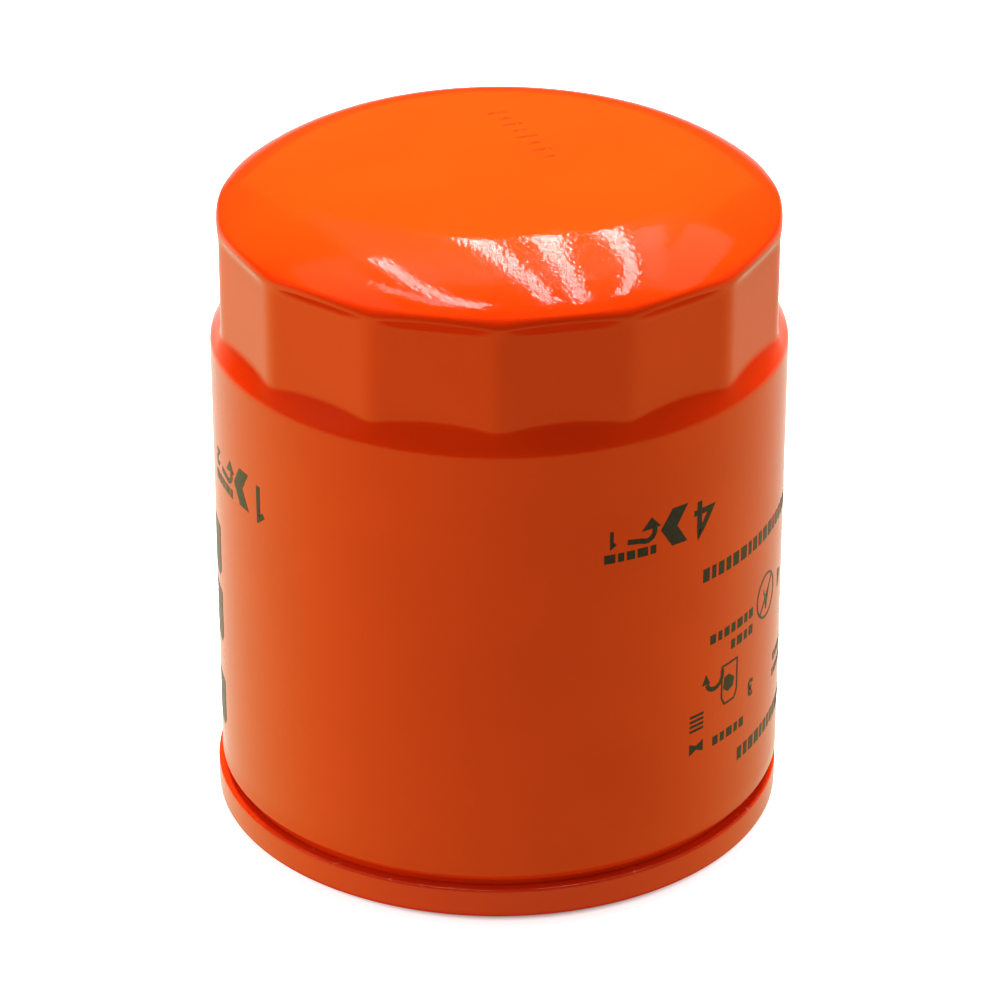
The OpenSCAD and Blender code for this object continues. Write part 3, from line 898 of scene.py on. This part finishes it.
make_piece("bypass_seat_plate", ring(6.0, SEAT_R, SEAT_LOW, SEAT_TOP, (0.1, 0.15, 0.3, 0.35)),
           plate_steel, stands_for=["bypass_seat"])
make_piece("bypass_poppet_disc", ring(1.52, POPPET_R, POPPET_LOW, POPPET_TOP, (0.1, 0.3, 0.15, 0.1)),
           plate_steel, "bypass_valve", ["bypass_poppet"])
make_piece("bypass_seal_ring", ring(3.6, SEAL_R, SEAL_LOW, SEAL_TOP, (0.1, 0.15, 0.35, 0.35)),
           black_rubber, "bypass_valve", ["bypass_seal"])


def stem_mesh():
    """Guide stem with a rounded tail and a riveted head."""
    outline = [(0.02, STEM_LOW), *arc(1.2, STEM_LOW + 0.8, 0.8, -90, 0, 5), (2.0, POPPET_LOW),
               (1.5, POPPET_LOW), (1.5, POPPET_TOP), (STEM_HEAD_R, POPPET_TOP),
               *arc(STEM_HEAD_R - 0.5, POPPET_TOP + 0.2, 0.5, 0, 90, 5), (0.02, STEM_TOP)]
    return lathe(outline, 48)


make_piece("bypass_guide_stem", stem_mesh(), plate_steel, "bypass_valve", ["bypass_stem"])

SPRING_TURNS = 5
WIRE_R = 0.6


def coil_mesh(sides=14, per_turn=48):
    """A compression spring with closed end turns."""
    steps = SPRING_TURNS * per_turn
    mean_r = COIL_R - WIRE_R
    low, high = COIL_LOW + WIRE_R, COIL_TOP - WIRE_R
    closed = 1.8 * WIRE_R
    open_h = high - low - 2 * closed
    verts = []
    for i in range(steps + 1):
        t = i / per_turn
        climb = max(0.0, min(1.0, (t - 1) / (SPRING_TURNS - 2)))
        z = low + closed * (min(1.0, t) + max(0.0, t - SPRING_TURNS + 1)) + open_h * climb
        for j in range(sides):
            a = 2 * math.pi * j / sides
            r = mean_r + WIRE_R * math.cos(a)
            turn = 2 * math.pi * t
            verts.append((r * math.cos(turn), r * math.sin(turn), z + WIRE_R * math.sin(a)))
    faces = grid_faces(steps + 1, sides, False)
    faces += [tuple(range(sides)), tuple(range(len(verts) - 1, len(verts) - 1 - sides, -1))]
    return verts, faces


coil = make_piece("bypass_coil", coil_mesh(), spring_steel, stands_for=["bypass_spring"])
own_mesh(coil)

# Nodes whose CAD shape is kept
for name, material in (("center_tube", tin_plate), ("bypass_cage", tin_plate),
                       ("load_spring", spring_steel)):
    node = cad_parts[name]
    node.data.materials.clear()
    node.data.materials.append(material)


# ---------------------------------------------------------------- print on the can

INK_OUT = 0.03
INK_IN = 0.02
FACET = 0.7


def ribbon(points, width, closed=False):
    """Quads along a path of (u, v) points, as (verts, faces) in the plane of the print."""
    path = []
    pairs = list(zip(points, points[1:] + points[:1])) if closed else list(zip(points, points[1:]))
    for (x0, y0), (x1, y1) in pairs:
        parts = max(1, math.ceil(math.hypot(x1 - x0, y1 - y0) / FACET))
        path += [(x0 + (x1 - x0) * k / parts, y0 + (y1 - y0) * k / parts) for k in range(parts)]
    if not closed:
        path.append(points[-1])
    count = len(path)
    verts = []
    for i, (x, y) in enumerate(path):
        before = path[i - 1] if closed or i else path[i]
        after = path[(i + 1) % count] if closed or i < count - 1 else path[i]
        back = Vector((x - before[0], y - before[1]))
        ahead = Vector((after[0] - x, after[1] - y))
        back = back.normalized() if back.length else ahead.normalized()
        ahead = ahead.normalized() if ahead.length else back
        normal = Vector((-(back.y + ahead.y), back.x + ahead.x))
        normal = normal.normalized() if normal.length > 1e-6 else Vector((-back.y, back.x))
        half = width / 2 / max(0.5, abs(normal.dot(Vector((-back.y, back.x)))))
        verts += [(x + normal.x * half, y + normal.y * half), (x - normal.x * half, y - normal.y * half)]
    last = count if closed else count - 1
    faces = [(2 * i, 2 * i + 1, 2 * ((i + 1) % count) + 1, 2 * ((i + 1) % count)) for i in range(last)]
    return verts, faces


def patch(points):
    """A filled outline of (u, v) points, cut into small faces."""
    work = bmesh.new()
    corners = [work.verts.new((x, y, 0)) for x, y in points]
    for tri in tessellate_polygon([[Vector((x, y, 0)) for x, y in points]]):
        work.faces.new([corners[i] for i in tri])
    for _ in range(5):
        long_edges = [e for e in work.edges if e.calc_length() > FACET * 1.4]
        if not long_edges:
            break
        bmesh.ops.subdivide_edges(work, edges=long_edges, cuts=1)
        bmesh.ops.triangulate(work, faces=[f for f in work.faces if len(f.verts) > 4])
    work.verts.index_update()
    verts = [(v.co.x, v.co.y) for v in work.verts]
    faces = [tuple(v.index for v in f.verts) for f in work.faces]
    work.free()
    return verts, faces


def bar(u, v, width, height):
    """A filled bar centred on (u, v)."""
    return patch([(u - width / 2, v - height / 2), (u + width / 2, v - height / 2),
                  (u + width / 2, v + height / 2), (u - width / 2, v + height / 2)])


def film(upper, lower, faces):
    """A thin closed film between two copies of a sheet's points, as (verts, faces)."""
    count = len(upper)
    edges = dict.fromkeys((a, b) for face in faces for a, b in zip(face, face[1:] + face[:1]))
    closed = list(faces) + [tuple(count + i for i in reversed(face)) for face in faces]
    closed += [(b, a, count + a, count + b) for a, b in edges if (b, a) not in edges]
    return upper + lower, closed


def shifted(art, du, dv, size=1.0):
    """The art scaled by size and moved by (du, dv)."""
    return [([(x * size + du, y * size + dv) for x, y in verts], faces) for verts, faces in art]


DIGIT_STROKES = {
    "1": [[(-0.9, 1.6), (0.3, 2.5), (0.3, -2.5)]],
    "2": [arc(0, 1.05, 1.45, 165, -30, 9) + [(-1.45, -2.1), (1.5, -2.1)]],
    "3": [arc(0, 1.2, 1.25, 150, -80, 8) + arc(0, -1.1, 1.4, 80, -150, 9)],
    "4": [[(0.7, -2.5), (0.7, 2.5), (-1.6, -0.9), (1.7, -0.9)]],
}


def digit(figure, weight=0.85):
    """A plain numeral, five millimetres tall, centred on the origin."""
    return [ribbon(stroke, weight) for stroke in DIGIT_STROKES[figure]]


def chevron():
    """A block chevron that points along +u."""
    return [patch([(-2.2, 2.8), (0.4, 2.8), (2.3, 0.0), (0.4, -2.8), (-2.2, -2.8), (-0.4, 0.0)])]


def turn_arrow():
    """A hooked arrow."""
    hook = [(2.4, 0.9)] + arc(-0.4, 0.0, 1.35, 60, 215, 10)
    head = [(-2.7, -0.4), (0.3, -0.2), (-1.2, -2.0)]
    return [ribbon(hook, 0.75), patch(head)]


def dashes(start, end, height, rhythm, gap=0.55):
    """Plain bars of the widths in rhythm, over and over, that stand for a line of words."""
    art, u, k = [], start, 0
    while u + 0.6 < end:
        width = min(rhythm[k % len(rhythm)], end - u)
        art.append(bar(u + width / 2, 0, width, height))
        u += width + gap
        k += 1
    return art


def wrapped(art, angle, height):
    """Art wrapped on the can, upside down as on a filter that hangs by its thread."""
    parts = []
    for verts, faces in art:
        sheet = []
        for u, v in verts:
            turn = math.radians(angle - 90) - u / CAN_R
            sheet.append((math.cos(turn), math.sin(turn), height - v))
        parts.append((sheet, faces))
    return parts


def print_piece(name, parts):
    """A print layer: each part as a film, just proud of the paint."""
    outer, inner = CAN_R + INK_OUT, CAN_R - INK_IN
    films = [film([(x * outer, y * outer, z) for x, y, z in sheet],
                  [(x * inner, y * inner, z) for x, y, z in sheet], faces) for sheet, faces in parts]
    make_piece(name, joined(films), ink, crease=40)


def turn_mark(figure, following):
    """Index figure, chevron, arrow, and a short line of plain bars."""
    art = shifted(digit(figure), -5.1, 0.2)
    art += chevron()
    art += shifted(turn_arrow(), 5.0, -0.4)
    art += shifted(digit(following, 1.1), 9.6, -0.4, 0.46)
    art += shifted(dashes(3.0, 10.8, 1.3, (0.9, 1.6, 1.2), 0.4), 0, 2.5)
    return art


# Angles run to the right of the middle of the front, in degrees; heights are above the gasket face
TURN_MARKS = (("1", "2", -61.5, 57.0), ("2", "3", -148.5, 57.0), ("3", "4", 124.5, 57.0),
              ("4", "1", 35.8, 58.1))
for figure, following, angle, height in TURN_MARKS:
    print_piece(f"turn_mark_{figure}", wrapped(turn_mark(figure, following), angle, height))


def around(degrees):
    """Length round the can of an angle."""
    return math.radians(degrees) * CAN_R


def text_line(first, last, height, tall, rhythm):
    """A line of bars between two angles."""
    middle = (first + last) / 2
    half = around(last - first) / 2
    return wrapped(dashes(-half, half, tall, rhythm), middle, height)


def warning_ring():
    """A ring with a drop inside and a bar across."""
    ring = ribbon(arc(0, 0, 3.3, 0, 345, 23), 0.34, closed=True)
    drop = patch(arc(0, -0.9, 1.05, 200, -20, 10) + [(0.15, 2.1), (-0.15, 2.1)])
    slash = ribbon([(-2.2, -2.3), (2.2, 2.3)], 0.34)
    return [ring, drop, slash]


def fitting_sketch():
    """A little outline of a canister with an arrow round it."""
    body = [(-1.9, -3.4), (1.9, -3.4), (1.9, 1.8), (1.2, 3.0), (-1.2, 3.0), (-1.9, 1.8)]
    hand = patch([(-1.2, -0.6), (0.2, -1.6), (1.3, -1.4), (1.5, 0.4), (0.4, 1.2), (-0.8, 0.8)])
    arrow = shifted([ribbon(arc(0, 0, 2.0, 200, 20, 12), 0.8)], 3.6, -2.4, 0.9)
    head = [patch([(4.6, -1.9), (6.3, -2.0), (5.5, -3.6)])]
    return [ribbon(body, 0.32, closed=True), hand] + arrow + head


def striped_tab():
    """Four stripes over a bow."""
    stripes = [bar(0, 0.2 + 0.75 * k, 2.6, 0.38) for k in range(4)]
    bow = [patch([(-1.3, -0.6), (0, -1.2), (1.3, -0.6), (1.3, -2.4), (0, -1.8), (-1.3, -2.4)])]
    return shifted(stripes, 0, -3.2) + shifted(bow, 0, 3.6)


WIDE = (1.36, 1.02, 1.16, 0.82, 1.50)
SMALL = (1.1, 0.8, 1.3, 0.9)

# Lines of bars as (first angle, last angle, height, how tall the bars are, their widths)
NOTICE_LINES = (
    (43.5, 104, 48.6, 2.0, WIDE),
    (56, 112, 16.9, 2.0, WIDE),
    (46, 61, 38.0, 1.4, SMALL),
    (52.5, 61, 35.4, 1.4, SMALL),
    (46, 58, 21.7, 1.4, SMALL),
    (74, 112, 26.0, 1.2, SMALL),
    (74, 100, 23.6, 1.2, SMALL),
)
print_piece("notice_bars", [part for line in NOTICE_LINES for part in text_line(*line)])

# Signs as (art, size, angle, height)
NOTICE_SIGNS = (
    (warning_ring(), 1.0, 67.8, 38.3),
    (fitting_sketch(), 0.95, 52.5, 29.5),
    (striped_tab(), 1.0, 42.6, 24.2),
    (digit("3", 1.2), 0.45, 61.0, 26.0),
    (digit("4", 1.2), 0.45, 77.5, 38.0),
    (warning_ring(), 0.8, 92.0, 36.0),
    (fitting_sketch(), 0.95, 108.0, 33.0),
)
print_piece("notice_signs", [part for art, size, angle, height in NOTICE_SIGNS
                             for part in wrapped(shifted(art, 0, 0, size), angle, height)])

# Rows of the label as (height of the row's middle, how tall it is, widths of its bars)
LABEL_ROWS = (
    (-12.5, 8.2, (9, 13, 7, 11)),
    (-2.0, 8.4, (12, 8, 14)),
    (12.0, 7.6, (7, 10, 16)),
)
LABEL_START = -24.0
LABEL_GAP = 1.6
LABEL_NOTCH = 1.2


def label_block():
    """Three rows of broad bars with two notched corners, which fill the label side of the can."""
    art = []
    for v, tall, widths in LABEL_ROWS:
        u, low, high = LABEL_START, v - tall / 2, v + tall / 2
        for width in widths:
            end = u + width
            art.append(patch([(u, low), (end - LABEL_NOTCH, low), (end, low + LABEL_NOTCH), (end, high),
                              (u + LABEL_NOTCH, high), (u, high - LABEL_NOTCH)]))
            u = end + LABEL_GAP
    return art


print_piece("label_block", wrapped(label_block(), -110.5, 29.5))


# ---------------------------------------------------------------- stamped marks on the dome

STAMP_START = Vector((-0.8, 17.2))
STAMP_END = Vector((7.4, -1.4))
STAMP_HALF_LENGTHS = (1.5, 0.9) * 4
STAMP_W = 0.42
STAMP_OUT = 0.018
STAMP_IN = 0.02


def stamped_marks():
    """A row of long and short ticks along a line on the dome."""
    start, end = STAMP_START, STAMP_END
    along = (end - start).normalized()
    across = Vector((-along.y, along.x))
    step = (end - start).length / len(STAMP_HALF_LENGTHS)
    parts = []
    for k, half in enumerate(STAMP_HALF_LENGTHS):
        centre = start + along * (step * (k + 0.5))
        verts, faces = ribbon([(0.0, -half), (0.0, half)], STAMP_W)
        placed = [centre + along * u + across * v for u, v in verts]
        parts.append(film([(p.x, p.y, dome_height(p.length) + STAMP_OUT) for p in placed],
                          [(p.x, p.y, dome_height(p.length) - STAMP_IN) for p in placed], faces))
    return joined(parts)


# The marks' darker orange is painted shade of debossed strokes
make_piece("dome_stamp_marks", stamped_marks(), stamp_painted_shade, crease=40)


# ---------------------------------------------------------------- studio

# The floor: its own light, which starts between two distances from the axis, in metres. The unlit ring
# inside them, under the seam, is a painted contact shadow.
FLOOR_LIGHT = 0.8
CONTACT_SHADOW_EDGE = (0.0374, 0.0390)
FLOOR_DROP = 0.02
FLOOR_HALF = 8.0

# What gloss mirrors below the horizon. A direction's part to the front or back, to the side and up
# says how strong the floor's glow is there, and ranges are (from, to) of such a part.
FLOOR_GLOW = (0.56, 0.95)
GLOW_DEPTH = (-0.9, 0.3)
GLOW_SIDES = (1.25, 0.75)
GLOW_DIP = 0.2
GLOW_FADES = (-0.40, -0.10)
GLOW_STARTS = (-0.75, -0.55)
FLOOR_TINT_FRONT = (1.06, 1.0, 0.17)
FLOOR_TINT_BACK = (1.15, 1.0, 1.0)
TINT_DEPTH = (-0.9, 1.0)
TINT_POWER = 4
ROOM_GLOW = 0.02

# What lights matt surfaces, below and above the horizon
FLOOR_FILL = 0.8
ROOM_FILL = 0.3
HORIZON = (-0.05, 0.05)

# Lights in metres as (name, place, width and height, radiance)
MIDDLE = (0, 0, 0.05)
SOFTBOXES = (
    ("back_softbox", (0, 0.66, 1.22), 1.0, 30.0),
    ("left_softbox", (-1.28, -0.23, 0.35), 0.8, 4.0),
    ("right_softbox", (1.22, 0.44, 0.35), 0.8, 3.2),
)
BACK_CARD_TINT = (1.0, 0.96, 0.05)

# Panels in the ceiling, in millimetres, as (name, start, end, width, radiance)
CEILING = 1200.0
CEILING_PANELS = (
    ("window_near", (470, 900), (668, 300), 130, 0.8),
    ("window_far", (400, 1200), (470, 900), 130, 0.8),
    ("right_haze", (900, 1250), (900, 150), 560, 0.45),
    ("left_haze", (-800, 600), (-800, -500), 560, 0.25),
)

# Pairs of tubes in the ceiling, in millimetres, as (name, radiance, points along the row)
TUBE_W = 12.0
TUBE_GAP = 17.5
TUBE_ROWS = (
    ("row_1", 9.0, ((-700, 420), (-492, 139), (-327, -42), (-153, -168))),
    ("row_2", 26.0, ((-396, 563), (-326, 178), (-232, -19), (-48, -185))),
    ("row_3", 26.0, ((-54, 1254), (-12, 736), (60, 355), (186, -20), (236, -98))),
    ("row_4", 26.0, ((75, 1400), (161, 590), (299, 80), (376, -78))),
    ("row_5", 26.0, ((220, 1292), (343, 814), (476, 439), (541, 187), (545, 22))),
)


def aim(item, target):
    """Turns an object's -Z axis to a target."""
    item.rotation_mode = "QUATERNION"
    item.rotation_quaternion = (Vector(target) - item.location).to_track_quat("-Z", "Y")


def area_light(name, place, target, width, height, radiance, tint=(1, 1, 1), gloss_only=True):
    """A rectangular light of an even radiance. It is seen only in gloss, or never in gloss."""
    data = bpy.data.lights.new(name, "AREA")
    data.shape = "RECTANGLE"
    data.size = width
    data.size_y = height
    data.energy = radiance * math.pi * width * height
    data.color = tint
    light = add_object(name, data)
    light.location = place
    aim(light, target)
    light.visible_glossy = gloss_only
    light.visible_diffuse = not gloss_only
    return light


def ceiling_light(name, start, end, width, radiance, aside=0.0):
    """A gloss-only light between two points of the ceiling, moved aside across its length."""
    along = Vector(end) - Vector(start)
    middle = (Vector(start) + Vector(end)) / 2 + Vector((along.y, -along.x)).normalized() * aside
    place = Vector((middle.x, middle.y, CEILING)) * MM
    light = area_light(name, place, place - Vector((0, 0, 1)), width * MM, along.length * MM, radiance)
    light.rotation_mode = "XYZ"
    light.rotation_euler = (0, 0, math.atan2(-along.x, along.y))


def make_floor():
    """A pale floor that gives off light except where the filter stands; the dark ring there is a painted
    contact shadow. The can doesn't mirror it.
    """
    material, tree, shader = principled("studio_floor", roughness=0.9, Specular_IOR_Level=0.0,
                                        Emission_Color=(1, 1, 1, 1))
    radius = axis_distance(tree)[0]
    # No glow under the seam: painted contact shadow
    tree.links.new(remap(tree, radius, *CONTACT_SHADOW_EDGE, 0, FLOOR_LIGHT), shader.inputs["Emission Strength"])
    tree.links.new(mixed(tree, noise(tree, 3), (0.74, 0.74, 0.74), (0.76, 0.76, 0.76)),
                   shader.inputs["Base Color"])
    mesh = bpy.data.meshes.new("floor")
    half = FLOOR_HALF
    mesh.from_pydata([(-half, -half, 0), (half, -half, 0), (half, half, 0), (-half, half, 0)], [],
                     [(0, 1, 2, 3)])
    mesh.materials.append(material)
    floor = add_object("floor", mesh)
    floor.location.z = CAD_BOX[0].z - FLOOR_DROP * MM
    floor.visible_glossy = False
    floor.visible_diffuse = False


def background(tree, strength, colour=(1, 1, 1)):
    """A background shader; its strength and colour are constants or sockets."""
    node = tree.nodes.new("ShaderNodeBackground")
    for socket, value in ((node.inputs["Strength"], strength), (node.inputs["Color"], colour)):
        if isinstance(value, tuple):
            socket.default_value = (*value, 1)
        elif isinstance(value, float):
            socket.default_value = value
        else:
            tree.links.new(value, socket)
    return node.outputs[0]


def make_world():
    """White for the background, an even fill for diffuse light, and a warm floor glow for gloss."""
    world = bpy.data.worlds.new("studio")
    bpy.context.scene.world = world
    world.use_nodes = True
    tree = world.node_tree
    tree.nodes.clear()
    place = tree.nodes.new("ShaderNodeTexCoord")
    split = tree.nodes.new("ShaderNodeSeparateXYZ")
    tree.links.new(place.outputs["Generated"], split.inputs[0])
    side, ahead, height = split.outputs[0], split.outputs[1], split.outputs[2]
    dip = maths(tree, "MULTIPLY", maths(tree, "ABSOLUTE", side), GLOW_DIP)
    edge = maths(tree, "SUBTRACT", height, dip)
    glow = remap(tree, ahead, *GLOW_DEPTH, *FLOOR_GLOW)
    for factor in (remap(tree, side, -1, 1, *GLOW_SIDES), remap(tree, edge, *GLOW_FADES, 1, 0),
                   remap(tree, height, *GLOW_STARTS, 0, 1)):
        glow = maths(tree, "MULTIPLY", glow, factor)
    glow = maths(tree, "ADD", glow, ROOM_GLOW)
    behind = maths(tree, "POWER", remap(tree, ahead, *TINT_DEPTH, 0, 1), TINT_POWER)
    tint = mixed(tree, behind, FLOOR_TINT_FRONT, FLOOR_TINT_BACK)
    path = tree.nodes.new("ShaderNodeLightPath")
    shader = background(tree, glow, tint)
    fill = remap(tree, height, *HORIZON, FLOOR_FILL, ROOM_FILL)
    for ray, other in (("Is Diffuse Ray", background(tree, fill)),
                       ("Is Camera Ray", background(tree, 1.0))):
        blend = tree.nodes.new("ShaderNodeMixShader")
        tree.links.new(path.outputs[ray], blend.inputs["Fac"])
        tree.links.new(shader, blend.inputs[1])
        tree.links.new(other, blend.inputs[2])
        shader = blend.outputs[0]
    output = tree.nodes.new("ShaderNodeOutputWorld")
    tree.links.new(shader, output.inputs["Surface"])


make_floor()
make_world()

for name, place, size, radiance in SOFTBOXES:
    area_light(name, place, MIDDLE, size, size, radiance, gloss_only=False)
area_light("back_card", (0, 2.0, 0.95), (0, 0, 0.1), 1.9, 1.3, 0.13, BACK_CARD_TINT)
for panel in CEILING_PANELS:
    ceiling_light(*panel)
for row, brightness, points in TUBE_ROWS:
    for k, (start, end) in enumerate(zip(points, points[1:])):
        for tube, aside in (("a", -TUBE_GAP), ("b", TUBE_GAP)):
            ceiling_light(f"{row}_{k + 1}{tube}", start, end, TUBE_W, brightness, aside)


# ---------------------------------------------------------------- camera

CAMERA_PITCH = math.radians(27.3)
CAMERA_DISTANCE = 0.6156
CAMERA_TARGET = Vector((0, 0, 0.0455))
CAMERA_LENS = 157.0
CAMERA_SHIFT = (0.0007, -0.0015)

camera_data = bpy.data.cameras.new("camera")
camera_data.lens = CAMERA_LENS
camera_data.shift_x, camera_data.shift_y = CAMERA_SHIFT
camera = add_object("camera", camera_data)
camera.location = CAMERA_TARGET + CAMERA_DISTANCE * Vector(
    (0, -math.cos(CAMERA_PITCH), math.sin(CAMERA_PITCH)))
aim(camera, CAMERA_TARGET)
bpy.context.scene.camera = camera
bpy.context.scene.view_settings.view_transform = "Standard"
